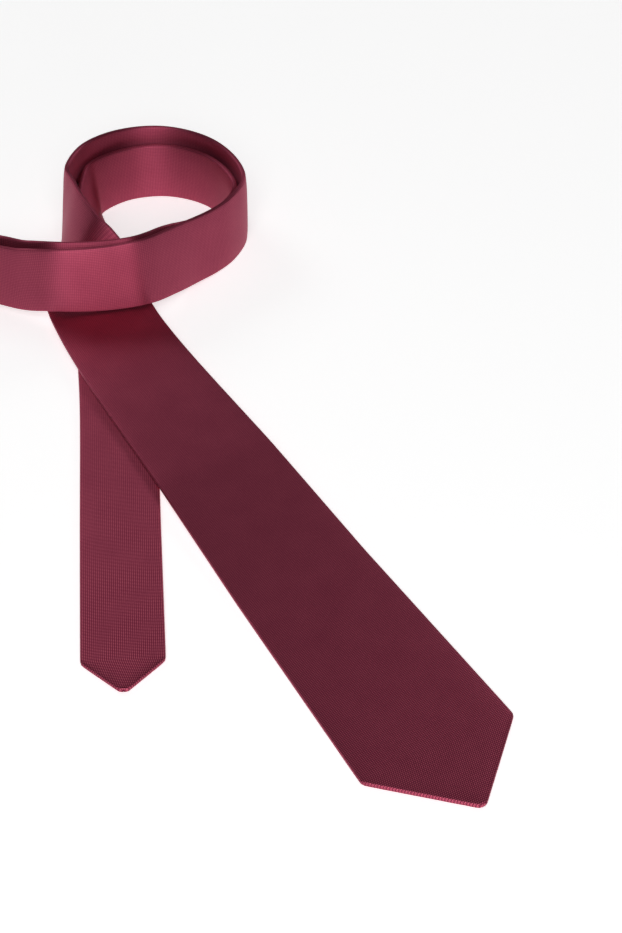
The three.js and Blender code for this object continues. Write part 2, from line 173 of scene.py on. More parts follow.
def bump(tree, height, distance, strength=1.0):
    node = add_node(tree, "ShaderNodeBump")
    node.inputs["Strength"].default_value = strength
    node.inputs["Distance"].default_value = distance
    wire(tree, height, node.inputs["Height"])
    return node.outputs["Normal"]


def linear(red, green, blue):
    """A colour given as 0 to 255 on a screen, as the shader wants it."""
    def one(value):
        value /= 255
        return value / 12.92 if value <= 0.04045 else ((value + 0.055) / 1.055) ** 2.4
    return (one(red), one(green), one(blue), 1.0)


# %% [markdown]
# ## The shell cloth
#
# The shell is a burgundy jacquard. Dark threads run along the tie, and at every crossing a
# lighter rose thread comes up as a tiny raised dash, so the cloth is a lattice of pale dots on a
# dark ground. The lattice is drawn in the cloth's own coordinates with two rounded waves, one
# across and one along, multiplied together: where both are high a dash stands up. The same height
# drives the colour, the roughness and the bump, so light and pattern agree.
#
# The dashes show in full at the two points only. Over the first 0.19 m they fade to LEAST_FRESH of
# that, and stay there over the rest, where the cloth tends to one pressed, even tone. That is a
# choice of look: real cloth has one weave from end to end. The satin shine is most of the finish,
# so the cloth is largely metallic to the shader, whose anisotropy draws the highlights out one way,
# and a faint rose sheen is laid on top.

# %% Shell cloth
DASH_STEP = 0.95 * MM
GROUND = linear(122, 25, 62)
DASH = linear(250, 124, 150)
DASH_SOFTNESS = 0.5
DASH_BUMP = 0.08 * MM
PRESSED = 0.42                   # the even tone between the two colours
LEAST_FRESH = 0.3                # contrast left away from the points
HALFWAY = 738 * MM
FRESH_PER_METRE, FRESH_START = 4.0, -1.9
WORN_LOW, WORN_SHARE = 0.6, 0.3  # how unevenly the dashes are coloured
GROUND_ROUGH, DASH_SMOOTHER = 0.59, -0.12
SHEEN_TINT = linear(235, 110, 140)


def wave(tree, place, pitch):
    """A smooth wave from 0 to 1 that repeats every pitch."""
    turns = calc(tree, "MULTIPLY", place, 2 * math.pi / pitch)
    return calc(tree, "MULTIPLY_ADD", calc(tree, "SINE", turns), 0.5, 0.5)


def make_shell_cloth():
    material, tree = new_material("burgundy_jacquard")
    across, along = across_and_along(tree)
    columns = wave(tree, across, DASH_STEP)
    rows = wave(tree, along, DASH_STEP)
    dash = calc(tree, "POWER", calc(tree, "MULTIPLY", columns, rows), DASH_SOFTNESS)
    from_middle = calc(tree, "ABSOLUTE", calc(tree, "SUBTRACT", along, HALFWAY))
    near_point = calc(tree, "MULTIPLY_ADD", from_middle, FRESH_PER_METRE, FRESH_START)
    fresh = calc(tree, "MAXIMUM", near_point, LEAST_FRESH)
    dash = mix_values(tree, fresh, PRESSED, dash)
    cloud = noise(tree, cloth_place(tree), 60, detail=3)
    slub = noise(tree, cloth_place(tree), 900, detail=1)
    worn = calc(tree, "MULTIPLY_ADD", cloud, WORN_SHARE, calc(tree, "MULTIPLY", slub, WORN_SHARE))
    shown = calc(tree, "MULTIPLY", dash, calc(tree, "ADD", worn, WORN_LOW), clamp=True)
    shader = shader_of(tree)
    wire(tree, mix_colors(tree, shown, GROUND, DASH), shader.inputs["Base Color"])
    rough = calc(tree, "MULTIPLY_ADD", dash, DASH_SMOOTHER, GROUND_ROUGH)
    wire(tree, rough, shader.inputs["Roughness"])
    wire(tree, bump(tree, dash, DASH_BUMP, 0.5), shader.inputs["Normal"])
    tangent = add_node(tree, "ShaderNodeTangent", direction_type="UV_MAP", uv_map="UVMap")
    wire(tree, tangent.outputs[0], shader.inputs["Tangent"])
    shader.inputs["Metallic"].default_value = 0.84
    shader.inputs["Anisotropic"].default_value = 0.8
    shader.inputs["Specular IOR Level"].default_value = 0.1
    shader.inputs["Sheen Weight"].default_value = 0.04
    shader.inputs["Sheen Roughness"].default_value = 0.4
    shader.inputs["Sheen Tint"].default_value = SHEEN_TINT
    return material


shell_cloth = make_shell_cloth()
print("shell cloth: a dash every", DASH_STEP * 1000, "mm")

# %% [markdown]
# ## Interlining, tipping, thread and label tape
#
# The interlining is brushed wool, pale and fuzzy, so it is rough all over with a soft felt grain.
# The tipping is a plain, smooth lining: very fine diagonal twill lines and more shine. Sewing
# thread is two plies twisted together, which fine slanted lines along the thread show. The label
# tape is a plain white ribbed ribbon with nothing on it.

# %% Wool interlining
def make_wool():
    material, tree = new_material("wool_interlining")
    fuzz = noise(tree, cloth_place(tree), 1500, detail=4, roughness=0.7)
    patch = noise(tree, cloth_place(tree), 90, detail=2)
    shader = shader_of(tree)
    color = mix_colors(tree, patch, linear(206, 198, 182), linear(232, 226, 214))
    wire(tree, color, shader.inputs["Base Color"])
    wire(tree, bump(tree, fuzz, 0.2 * MM, 0.8), shader.inputs["Normal"])
    wire(tree, calc(tree, "MULTIPLY_ADD", fuzz, 0.1, 0.86), shader.inputs["Roughness"])
    shader.inputs["Sheen Weight"].default_value = 0.3
    return material


wool = make_wool()


# %% Tipping cloth
TWILL = 0.3 * MM


def make_tipping():
    material, tree = new_material("twill_tipping")
    across, along = across_and_along(tree)
    lines = wave(tree, calc(tree, "ADD", across, along), TWILL)
    cloud = noise(tree, cloth_place(tree), 80, detail=2)
    shader = shader_of(tree)
    shade = calc(tree, "MULTIPLY", lines, calc(tree, "ADD", cloud, 0.3), clamp=True)
    color = mix_colors(tree, shade, linear(66, 16, 32), linear(98, 30, 50))
    wire(tree, color, shader.inputs["Base Color"])
    wire(tree, bump(tree, lines, 0.03 * MM, 0.5), shader.inputs["Normal"])
    wire(tree, calc(tree, "MULTIPLY_ADD", lines, 0.1, 0.36), shader.inputs["Roughness"])
    shader.inputs["Sheen Weight"].default_value = 0.15
    return material


tipping_cloth = make_tipping()


# %% Sewing thread
PLY_TWIST = 0.9 * MM


def make_thread():
    material, tree = new_material("twisted_thread")
    across, along = across_and_along(tree)
    plies = wave(tree, calc(tree, "ADD", across, along), PLY_TWIST)
    shader = shader_of(tree)
    color = mix_colors(tree, plies, linear(62, 16, 30), linear(122, 42, 62))
    wire(tree, color, shader.inputs["Base Color"])
    wire(tree, bump(tree, plies, 0.08 * MM, 0.7), shader.inputs["Normal"])
    wire(tree, calc(tree, "MULTIPLY_ADD", plies, -0.1, 0.5), shader.inputs["Roughness"])
    shader.inputs["Sheen Weight"].default_value = 0.2
    return material


thread = make_thread()


# %% Label tape
RIB = 0.35 * MM


def make_tape():
    material, tree = new_material("plain_label_tape")
    along = across_and_along(tree)[1]
    ribs = wave(tree, along, RIB)
    grain = noise(tree, cloth_place(tree), 1200, detail=2)
    shader = shader_of(tree)
    shade = calc(tree, "MULTIPLY_ADD", ribs, 0.6, calc(tree, "MULTIPLY", grain, 0.4), clamp=True)
    color = mix_colors(tree, shade, linear(206, 198, 188), linear(238, 234, 226))
    wire(tree, color, shader.inputs["Base Color"])
    wire(tree, bump(tree, ribs, 0.05 * MM, 0.6), shader.inputs["Normal"])
    wire(tree, calc(tree, "MULTIPLY_ADD", ribs, 0.1, 0.6), shader.inputs["Roughness"])
    return material


tape = make_tape()
print("finishes:", len(bpy.data.materials))

# %% [markdown]
# ## The way the tie lies
#
# A folded tie is one long ribbon, so its shape is a route: where the middle of the ribbon runs on
# the floor plan, how high its lowest edge is, and how far the ribbon is rolled on its side. The
# stops below are the tie's chosen route, in millimetres, from the front tip round the loop, over
# both blades, through the neck fold and back to the tail tip. A smooth curve joins them. Writing
# the route once means that every layer, shell, wool, tipping and thread, follows the same way.

# %% Widths and layers
CLOTH = 0.5 * MM
LINING = 0.3 * MM
WOOL = 0.7 * MM
GAP = 0.3 * MM
THICK = 3.0 * MM
FRONT_WIDE, FRONT_POINT, FRONT_BLUNT = 80 * MM, 37 * MM, 3 * MM
TAIL_WIDE, TAIL_POINT, TAIL_BLUNT = 39.5 * MM, 18 * MM, 3.5 * MM
FRONT_HEM, FRONT_TACK = 10 * MM, 178 * MM
TAIL_HEM, TAIL_TACK = 7 * MM, 105 * MM
FRONT_RUN, TAIL_RUN = 330 * MM, 200 * MM
FRONT_HINGE, TAIL_HINGE = FRONT_RUN + 15 * MM, TAIL_RUN + 40 * MM
NECK_AT = 765 * MM
FRONT_WIDTH_AT = np.array([0, 37, 350, 510, 690, 765]) * MM
NECK_WIDE = 35 * MM
FRONT_WIDTHS = np.array([FRONT_BLUNT, FRONT_WIDE, 56 * MM, 45 * MM, 38 * MM, NECK_WIDE])
TAIL_WIDTH_AT = np.array([0, 18, 240, 340]) * MM
TAIL_WIDTHS = np.array([TAIL_BLUNT, TAIL_WIDE, TAIL_WIDE, NECK_WIDE])


# %% Stops on the route
FRONT_TIP, FRONT_HEADING = np.array([75, -217.3]), 119.8
TAIL_TIP, TAIL_HEADING = np.array([-85, -151]), 94.1
LOOP_CENTRE, LOOP_RADIUS = np.array([-85.5, 182]), 49
LAYER_STEP, INNER_LEAN, INNER_RISE = 5.2, 8, 3   # step and rise in mm, lean in degrees
INNER_END = 12                   # degrees short of the tail's own stops
UPRIGHT = 86                     # a band rolled further than this doesn't lean
FOLD_AT, FOLD_RADIUS, FOLD_HEADING = np.array([-197, 142.5]), 7, 150
TAIL_JOINS_LOOP = 143
OVER_TAIL = 3.3                  # height of the front blade over the tail blade
OVER_BOTH = 6.9                  # and of the band over both
RISE_START, RISE_END = 160.4, 245.4


def heading(degrees):
    return np.array([math.cos(math.radians(degrees)), math.sin(math.radians(degrees))])


def along_way(start, degrees, distance, lift):
    return (*(start + heading(degrees) * distance), lift, 0)


def on_loop(degrees, radius, lift, roll):
    return (*(LOOP_CENTRE + heading(degrees) * radius), lift, roll)


front_blade_stops = [
    along_way(FRONT_TIP, FRONT_HEADING, 0, 0),
    along_way(FRONT_TIP, FRONT_HEADING, RISE_START / 2, 0),
    along_way(FRONT_TIP, FRONT_HEADING, RISE_START, 0),
    along_way(FRONT_TIP, FRONT_HEADING, RISE_END, OVER_TAIL),
    along_way(FRONT_TIP, FRONT_HEADING, FRONT_RUN / MM, OVER_TAIL),
    (-104, 98, OVER_TAIL, 0),
    (-110, 111, OVER_TAIL, 1),
    (-113.6, 119, OVER_TAIL, 3),
    (-115.3, 122.5, OVER_TAIL, 8),
    (-117, 126, OVER_TAIL, 20),
    (-121, 132.4, 2.8, 46),
    (-125, 139.5, 2, 58),
    (-130.4, 157.5, 1, 71),
    (-132.6, 171, 0.5, 79),
]
doubled_stops = [
    on_loop(176, LOOP_RADIUS, 0, 87),
    *[on_loop(angle, LOOP_RADIUS, 0, 90) for angle in (145, 115, 85, 55, 28, 5)],
    (-44, 167.5, 0, 87),
    (-53, 156.5, 0.5, 85),
    (-63, 146.6, 2, 83),
    (-73.6, 135.1, 5, 80),
    (-87.4, 122.9, OVER_BOTH + 1, 78),
    (-102.7, 118.6, OVER_BOTH + 0.5, 78),
    (-118, 116, OVER_BOTH + 1, 78),
    (-133, 115, OVER_BOTH + 1.8, 78),
    (-143.4, 116.6, OVER_BOTH + 1.2, 78),
    (-154, 120.6, OVER_TAIL + 2, 78),
    (-168, 126.9, OVER_TAIL + 1, 79),
    (-184, 135, 2, 84),
]
tail_blade_stops = [
    (-121, 196, 0, 72),
    (-117.4, 178, 0, 54),
    (-112.6, 160, 0, 36),
    (-109, 141, 0, 11),
    (-107, 128, 0, 1),
    (-105.8, 116, 0, 0),
    (-103.8, 92, 0, 0),
    *[along_way(TAIL_TIP, TAIL_HEADING, far, 0) for far in (TAIL_RUN / MM, 100, 0)],
]


# %% Stops of the fold and of the inner layer
def inner_stops():
    """The inner layer follows the outer one, a layer step nearer the inside."""
    inner = []
    for i in range(len(doubled_stops) - 1, 0, -1):
        x, y, lift, roll = doubled_stops[i]
        after = doubled_stops[min(i + 1, len(doubled_stops) - 1)]
        before = doubled_stops[i - 1]
        way = np.array(after[:2]) - np.array(before[:2])
        way /= np.linalg.norm(way)
        angle = math.degrees(math.atan2(y - LOOP_CENTRE[1], x - LOOP_CENTRE[0]))
        if y > LOOP_CENTRE[1] and angle > TAIL_JOINS_LOOP - INNER_END:
            continue
        rise = INNER_RISE if lift > OVER_TAIL else 0
        lean = INNER_LEAN if roll < UPRIGHT else 0
        inner.append((x + way[1] * LAYER_STEP, y - way[0] * LAYER_STEP,
                      lift + rise, 180 - roll + lean))
    inner.append(on_loop(TAIL_JOINS_LOOP, LOOP_RADIUS - LAYER_STEP, 0, 84))
    return inner


def fold_stops():
    """The neck fold is a small open bulb, so the two layers leave it side by side."""
    way = heading(FOLD_HEADING)
    inward = np.array([way[1], -way[0]])
    middle = FOLD_AT + inward * LAYER_STEP / 2
    turns = [heading(angle) * FOLD_RADIUS for angle in (-90, -30, 30, 90)]
    return [(*(middle + way * turn[0] + inward * turn[1]), 0, 90) for turn in turns]


stops = np.array(
    [*front_blade_stops, *doubled_stops, *fold_stops(), *inner_stops(), *tail_blade_stops])
print("stops on the route:", len(stops))

# %% [markdown]
# ## From stops to a smooth ribbon
#
# A centripetal Catmull-Rom curve passes through every stop without overshooting at the tight
# ones. Its length is measured, and every place on the tie is then named by how far it is from
# the front tip. At each place the ribbon has a middle, a direction across and a direction out of
# its face. With those three, `place` turns "so far along, so far across, so far out" into a point
# in space.

# %% The curve on the floor plan
STEPS = 60


def smooth_curve(knots):
    ends = np.vstack([2 * knots[0] - knots[1], knots, 2 * knots[-1] - knots[-2]])
    spans = np.sqrt(np.linalg.norm(np.diff(ends, axis=0), axis=1))
    t = np.linspace(0, 1, STEPS, endpoint=False)[:, None]
    rows = []
    for i in range(len(knots) - 1):
        p0, p1, p2, p3 = ends[i:i + 4]
        d0, d1, d2 = spans[i:i + 3]
        out = ((p1 - p0) / d0 - (p2 - p0) / (d0 + d1) + (p2 - p1) / d1) * d1
        back = ((p2 - p1) / d1 - (p3 - p1) / (d1 + d2) + (p3 - p2) / d2) * d1
        bend = 3 * (p2 - p1) - 2 * out - back
        turn = 2 * (p1 - p2) + out + back
        rows.append(p1 + out * t + bend * t ** 2 + turn * t ** 3)
    return np.vstack([*rows, knots[-1:]])


plan = smooth_curve(stops[:, :2] * MM)
plan_s = np.concatenate([[0], np.cumsum(np.linalg.norm(np.diff(plan, axis=0), axis=1))])
stop_s = plan_s[::STEPS]
LENGTH = plan_s[-1]
SEAM_PAST_FOLD, SEAM_BEFORE_LOOP = 43.8 * MM, 6 * MM
fold_end = len(front_blade_stops) + len(doubled_stops) + 3
FRONT_SEAM = stop_s[fold_end] + SEAM_PAST_FOLD
inner_loop = np.nonzero(stops[:, 2])[0].max() + 1
TAIL_SEAM = stop_s[inner_loop] - SEAM_BEFORE_LOOP
print("length of the tie: %.4f m" % LENGTH)


# %% Width, middle and directions
SMOOTHING = np.arange(-4, 5) * MM
RISE = np.array([0.0, 0.0, 1.0])


def half_width(s):
    front = np.interp(s, FRONT_WIDTH_AT, FRONT_WIDTHS)
    tail = np.interp(LENGTH - s, TAIL_WIDTH_AT, TAIL_WIDTHS)
    return np.where(s < NECK_AT, front, tail) / 2


def averaged(values, s):
    return np.interp(s[:, None] + SMOOTHING, stop_s, values).mean(axis=1)


def middle_at(s):
    s = np.clip(s, 0, LENGTH)
    roll = np.radians(averaged(stops[:, 3], s))
    lift = averaged(stops[:, 2] * MM, s)
    z = lift + half_width(s) * np.sin(roll) + THICK / 2 * np.cos(roll)
    return np.stack([np.interp(s, plan_s, plan[:, 0]), np.interp(s, plan_s, plan[:, 1]), z], 1)


def unit(vectors):
    return vectors / np.linalg.norm(vectors, axis=1, keepdims=True)


def directions(s):
    way = unit(middle_at(s + 1 * MM) - middle_at(s - 1 * MM))
    side = unit(np.cross(way, RISE))
    rise = np.cross(side, way)
    roll = np.radians(averaged(stops[:, 3], s))[:, None]
    across = side * np.cos(roll) + rise * np.sin(roll)
    return across, np.cross(across, way)


# %% Places on the tie
LABEL_AT = 211 * MM
LABEL_LONG, LABEL_WIDE, LABEL_CLOTH = 12 * MM, 30 * MM, 0.3 * MM
BACK = -THICK / 2 - GAP


def on_plan(s, u, h):
    """Points s along, u across and h out of the face, on the floor plan."""
    s, u, h = (np.ravel(x).astype(float) for x in np.broadcast_arrays(s, u, h))
    across, face = directions(s)
    return middle_at(s) + across * u[:, None] + face * h[:, None]


label_box = np.array(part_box("care_label"))
plan_origin = label_box.mean(axis=0) - on_plan(LABEL_AT, 0, BACK - LABEL_CLOTH / 2)[0]


def place(s, u, h):
    return on_plan(s, u, h) + plan_origin


print("front tip:", place(0, 0, 0).round(4), "tail tip:", place(LENGTH, 0, 0).round(4))

# %% [markdown]
# ## How a layer is made
#
# Each layer starts as a flat grid, as a cut piece of cloth does. The grid's columns follow the
# section, which is the outline across the tie, and its rows follow the route. Every vertex is
# moved to its place, the cloth's flat coordinates are kept as the UV map in metres, and Solidify
# gives the sheet its real thickness. The work is the same for all layers, so it is one function.

# %% Grid to cloth
def fresh_object(name, material):
    piece = bpy.context.object
    piece.name = piece.data.name = name
    piece.data.materials.clear()
    piece.data.materials.append(material)
    return piece


def flat_lengths(sections):
    """How far each point is from the section's middle, measured over the cloth."""
    steps = np.linalg.norm(np.diff(sections, axis=1), axis=2)
    far = np.concatenate([np.zeros((len(sections), 1)), np.cumsum(steps, axis=1)], axis=1)
    return far - far[:, far.shape[1] // 2][:, None]


def lay_cloth(name, stations, section, material, slant=True):
    """A sheet whose rows are the stations and whose columns are the section's points."""
    sections = np.array([section(s) for s in stations])
    rows, columns = sections.shape[:2]
    bpy.ops.object.select_all(action="DESELECT")
    bpy.ops.mesh.primitive_grid_add(
        x_subdivisions=columns - 1, y_subdivisions=rows - 1, size=1, calc_uvs=True)
    piece = fresh_object(name, material)
    mesh = piece.data
    flat = np.empty(len(mesh.vertices) * 3)
    mesh.vertices.foreach_get("co", flat)
    flat = flat.reshape(-1, 3)
    column = np.rint((flat[:, 0] + 0.5) * (columns - 1)).astype(int)
    row = np.rint((flat[:, 1] + 0.5) * (rows - 1)).astype(int)
    u, h = sections[row, column, 0], sections[row, column, 1]
    s = np.asarray(stations)[row]
    if slant:
        s = s + bias(s) * u
    mesh.vertices.foreach_set("co", place(s, u, h).ravel())
    flat_u = flat_lengths(sections)[row, column]
    corners = np.empty(len(mesh.loops), int)
    mesh.loops.foreach_get("vertex_index", corners)
    uv = np.stack([flat_u[corners], s[corners]], axis=1)
    mesh.uv_layers["UVMap"].data.foreach_set("uv", uv.astype(np.float32).ravel())
    mesh.update()
    return piece


SEAM_SLANT, SLANT_REACH = 0.7, 26 * MM


def bias(s):
    """Near a neck seam the rows lean over to the seam's slant."""
    near = [1 - np.clip(np.abs(s - seam) / SLANT_REACH, 0, 1) for seam in (FRONT_SEAM, TAIL_SEAM)]
    return SEAM_SLANT * (near[0] + near[1])


# %% Thickness and finish
POLE_MERGE = 0.02 * MM
CREASE = math.radians(50)


def close_poles(piece):
    """Merge the points that meet at a tip."""
    bpy.ops.object.mode_set(mode="EDIT")
    bpy.ops.mesh.select_all(action="SELECT")
    bpy.ops.mesh.remove_doubles(threshold=POLE_MERGE)
    bpy.ops.object.mode_set(mode="OBJECT")


def thicken(piece, thickness, offset=-1.0):
    solid = piece.modifiers.new("thickness", "SOLIDIFY")
    solid.thickness = thickness
    solid.offset = offset
    bpy.ops.object.modifier_apply(modifier=solid.name)
    bpy.ops.object.shade_smooth_by_angle(angle=CREASE)
    return piece


def cloth_area(stations, section):
    """Flat area of a layer: its width over the cloth, summed along it."""
    sections = np.array([section(s) for s in stations])
    widths = np.linalg.norm(np.diff(sections, axis=1), axis=2).sum(axis=1)
    return float(np.trapz(widths, stations)), float(widths.max())


def stations_over(*stretches):
    """Places from stretches of (start, end, step)."""
    parts = [np.linspace(a, b, max(2, round((b - a) / step) + 1)) for a, b, step in stretches]
    return np.unique(np.concatenate(parts).round(7))


# %% [markdown]
# ## The shell's section
#
# Across the tie the shell is one piece of cloth: it starts at the free edge of the left flap on
# the back, runs to the left edge, rolls round to the front, crosses it, rolls round the right
# edge and comes back to tuck under the left flap. Towards the tips the flaps open, and show the
# tipping. The side folds are soft rolls and not creases, because a good tie is never pressed
# flat. The front is a touch fuller in its middle, over the wool, and sinks a little to its edges.

# %% Section points
SEAM_LAP, SLIT, GROOVE, LAP_START = 4 * MM, 3 * MM, 1.6 * MM, 27 * MM
FULLNESS = 0.2 * MM
EDGE_ROLL = 0.7 * MM
EDGE_DROP, DROP_WIDE = 0.4 * MM, 9 * MM
TIP_ROUND = 1.5 * MM
CORNER_ROUND = 0.8 * MM
TIP_RISE = 1.2 * MM
LEAST_HALF, LEAST_HIGH = 0.004 * MM, 0.002
FOLD_POINTS, FRONT_POINTS, FLAP_POINTS = 9, 27, 8


def ramp(s, start, end):
    return min(max((s - start) / (end - start), 0.0), 1.0)


def mix(a, b, share):
    return a + (b - a) * share


def blade(s):
    """Distance from the nearer tip, and that blade's width, point, blunt, hem and tack."""
    if s < LENGTH / 2:
        return s, FRONT_WIDE, FRONT_POINT, FRONT_BLUNT, FRONT_HEM, FRONT_TACK
    return LENGTH - s, TAIL_WIDE, TAIL_POINT, TAIL_BLUNT, TAIL_HEM, TAIL_TACK


def soft_half(s):
    """Half the width, with the tip and the two corners beside it rounded as folded cloth is."""
    d, wide, point, blunt = blade(s)[:4]
    body = float(half_width(np.array([s]))[0])
    if d > 2 * point:
        return body
    slope = (wide - blunt) / 2 / point
    taper = blunt / 2 + slope * d
    full = body if d > point else wide / 2
    soft = (taper + full - math.sqrt((taper - full) ** 2 + CORNER_ROUND ** 2)) / 2
    nose = math.sqrt(max(0.0, 1 - (1 - min(d / TIP_ROUND, 1)) ** 2))
    return soft * nose


def flap_edges(s, half):
    """Where the two flaps end on the back, where the tuck bends, and how deep it goes."""
    d, wide, point, _, hem, tack = blade(s)
    edge = half - EDGE_ROLL
    corner = wide / 2 - hem
    if d < point:
        apart = max(half - hem, min(SLIT / 2, edge / 2))
    else:
        apart = mix(corner, SLIT / 2, ramp(d, point, tack - 5 * MM))
    lapped = ramp(d, tack + LAP_START - 7 * MM, tack + LAP_START)
    bent = ramp(d, tack + LAP_START - 20 * MM, tack + LAP_START - 9 * MM)
    outer = mix(-apart, SEAM_LAP / 2, lapped)
    inner = mix(apart, -SEAM_LAP / 2, lapped)
    closing = ramp(d, tack - 4 * MM, tack + 7 * MM)
    bend = mix(apart + (edge - apart) / 3, SEAM_LAP / 2 + GROOVE, closing)
    return outer, inner, bend, (CLOTH + GAP) * bent


def roll_of(half):
    """The radius of the soft side fold, less where the tie is very narrow."""
    return min(EDGE_ROLL, half * 0.6)


def rolled_edge(side, half, high, drop, upward):
    """Points round one soft side fold, from back to front or from front to back."""
    turn = np.linspace(-90, 90, FOLD_POINTS) if upward else np.linspace(90, -90, FOLD_POINTS)
    roll = roll_of(half)
    u = side * (half - roll + roll * np.cos(np.radians(turn)))
    return np.stack([u, (high - drop / 2) * np.sin(np.radians(turn)) - drop / 2], axis=1)


def front_fullness(u, edge, drop):
    """The front is fuller in its middle and falls away to both edges."""
    full = FULLNESS * min(1, edge / (10 * MM)) * (1 - np.clip(np.abs(u) / max(edge, MM), 0, 1) ** 2)
    return full - drop * (1 - np.clip((edge - np.abs(u)) / DROP_WIDE, 0, 1)) ** 2


def shell_section(s):
    """The whole outline, from the left flap's free edge round to the tuck under it."""
    half = max(soft_half(s), LEAST_HALF)
    d = blade(s)[0]
    high = THICK / 2 * max(math.sqrt(1 - (1 - min(d / TIP_RISE, 1)) ** 2), LEAST_HIGH)
    drop = EDGE_DROP * high / (THICK / 2)
    edge = half - roll_of(half)
    outer, inner, bend, depth = flap_edges(s, half)
    outer, inner, bend = (float(np.clip(x, -edge, edge)) for x in (outer, inner, bend))
    left = np.linspace(outer, -edge, FLAP_POINTS, endpoint=False)
    front = np.linspace(-edge, edge, FRONT_POINTS)[1:-1]
    crown = high + front_fullness(front, edge, drop)
    right = np.linspace(edge, bend + 1 * MM if bend < edge - 1 * MM else edge, FLAP_POINTS)[1:]
    tuck = np.linspace(bend, inner, FLAP_POINTS)
    return np.concatenate([
        np.stack([left, np.full(len(left), -high)], 1),
        rolled_edge(-1, half, high, drop, upward=True),
        np.stack([front, crown], 1),
        rolled_edge(1, half, high, drop, upward=False),
        np.stack([right, np.full(len(right), -high)], 1),
        np.stack([tuck, np.full(len(tuck), min(depth, high) - high)], 1),
    ])


print("points across the shell:", len(shell_section(0.2)))

# %% [markdown]
# ## The shell, in its three panels
#
# The front panel runs from the big point to the first neck seam, the short neck panel lies
# between the two slanted seams, and the tail panel runs on to the small point. The first and the
# last cross a place where the tie bends when a blade is lifted or swung, so each is one
# continuous cloth that follows the loop on one side of that place and the blade on the other.

# %% Front panel
SEAM_ROOM = 0.03 * MM
TIP_STEPS = np.array([0, 0.15, 0.4, 0.8, 1.3, 2, 3]) * MM
FINE, MEDIUM, COARSE = 1.5 * MM, 2.5 * MM, 5 * MM
front_stations = np.union1d(TIP_STEPS, stations_over(
    (3 * MM, 50 * MM, FINE), (50 * MM, 320 * MM, COARSE),
    (320 * MM, FRONT_SEAM - SEAM_ROOM, MEDIUM)))
front_shell = lay_cloth("front_shell", front_stations, shell_section, shell_cloth)
close_poles(front_shell)
thicken(front_shell, CLOTH)
front_area, front_flat_wide = cloth_area(front_stations, shell_section)
print("front panel: %.4f square metres of cloth" % front_area, len(front_shell.data.polygons))

# %% Neck panel
neck_stations = stations_over((FRONT_SEAM + SEAM_ROOM, TAIL_SEAM - SEAM_ROOM, MEDIUM))
neck_gusset = lay_cloth("neck_gusset", neck_stations, shell_section, shell_cloth)
thicken(neck_gusset, CLOTH)
neck_area, neck_flat_wide = cloth_area(neck_stations, shell_section)
print("neck panel: %.4f square metres of cloth" % neck_area)

# %% Tail panel
tail_stations = np.union1d(LENGTH - TIP_STEPS, stations_over(
    (TAIL_SEAM + SEAM_ROOM, LENGTH - 200 * MM, MEDIUM),
    (LENGTH - 200 * MM, LENGTH - 30 * MM, COARSE), (LENGTH - 30 * MM, LENGTH - 3 * MM, FINE)))
tail_shell = lay_cloth("tail_shell", tail_stations, shell_section, shell_cloth)
close_poles(tail_shell)
thicken(tail_shell, CLOTH)
tail_area, tail_flat_wide = cloth_area(tail_stations, shell_section)
print("tail panel: %.4f square metres of cloth" % tail_area)

# %% [markdown]
# ## Wool and tipping inside
#
# The interlining is a strip just narrower than the tie, in two lengths that meet at the neck. It
# lies under the front of the shell and follows its fall to the edges. The tipping is a thin flat
# cloth below it that fills each point, with its edges under the flaps. Both follow the route.

# %% Strips inside the shell
STRIP_INSET, LEAST_STRIP, STRIP_STEP = 2.2 * MM, 0.3 * MM, 3.5 * MM
STRIP_BACK = 5 * MM              # how far a strip stops short of its tip
FRONT_LINED, TAIL_LINED = 184 * MM, 111 * MM


def flat_strip(inset, high, follows_front, columns=31):
    """A section that is a strip a little narrower than the tie, under its front or flat."""
    def section(s):
        half = soft_half(s)
        edge = max(half - inset, LEAST_STRIP)
        u = np.linspace(-edge, edge, columns)
        fall = front_fullness(u, half - EDGE_ROLL, EDGE_DROP) if follows_front else 0 * u
        return np.stack([u, high + fall], axis=1)
    return section


def strip_stations(start, end):
    return np.linspace(start, end, max(2, round((end - start) / STRIP_STEP)))


WOOL_HIGH, TIPPING_HIGH = 0.85 * MM, -0.5 * MM
JOIN_PAST_SEAM = 52 * MM
WOOL_JOIN = FRONT_SEAM + JOIN_PAST_SEAM
strips = {}
for name, start, end, high, thickness, material in [
    ("front_interlining", STRIP_BACK, WOOL_JOIN, WOOL_HIGH, WOOL, wool),
    ("tail_interlining", WOOL_JOIN + GAP, LENGTH - STRIP_BACK, WOOL_HIGH, WOOL, wool),
    ("front_tipping_cloth", STRIP_BACK, FRONT_LINED, TIPPING_HIGH, LINING, tipping_cloth),
    ("tail_tipping_cloth", LENGTH - TAIL_LINED, LENGTH - STRIP_BACK, TIPPING_HIGH, LINING,
     tipping_cloth),
]:
    stations = strip_stations(start, end)
    section = flat_strip(STRIP_INSET, high, follows_front=material is wool)
    strips[name] = thicken(lay_cloth(name, stations, section, material), thickness)
    area, wide = cloth_area(stations, section)
    "front_shell" if "front" in name else "tail_shell"
    print(name, "%.4f square metres" % area)

# %% [markdown]
# ## Threads
#
# The slip stitch runs in the groove beside the lapped flap, in two lengths laid end to end. It is
# a slim round thread that swings gently from side to side of the groove. A grid is rolled into a
# tube on the route, and its swing is a wave.

# %% Slip stitch
THREAD_RADIUS = 0.2 * MM
STITCH_LONG = 7 * MM
SWING = 0.25 * MM
THREAD_MIDDLE = SEAM_LAP / 2 + GROOVE / 2
TUBE_MERGE = 0.01 * MM
THREAD_SIDES, THREAD_STEP = 8, 1.4 * MM
THREAD_SPLIT = 430 * MM


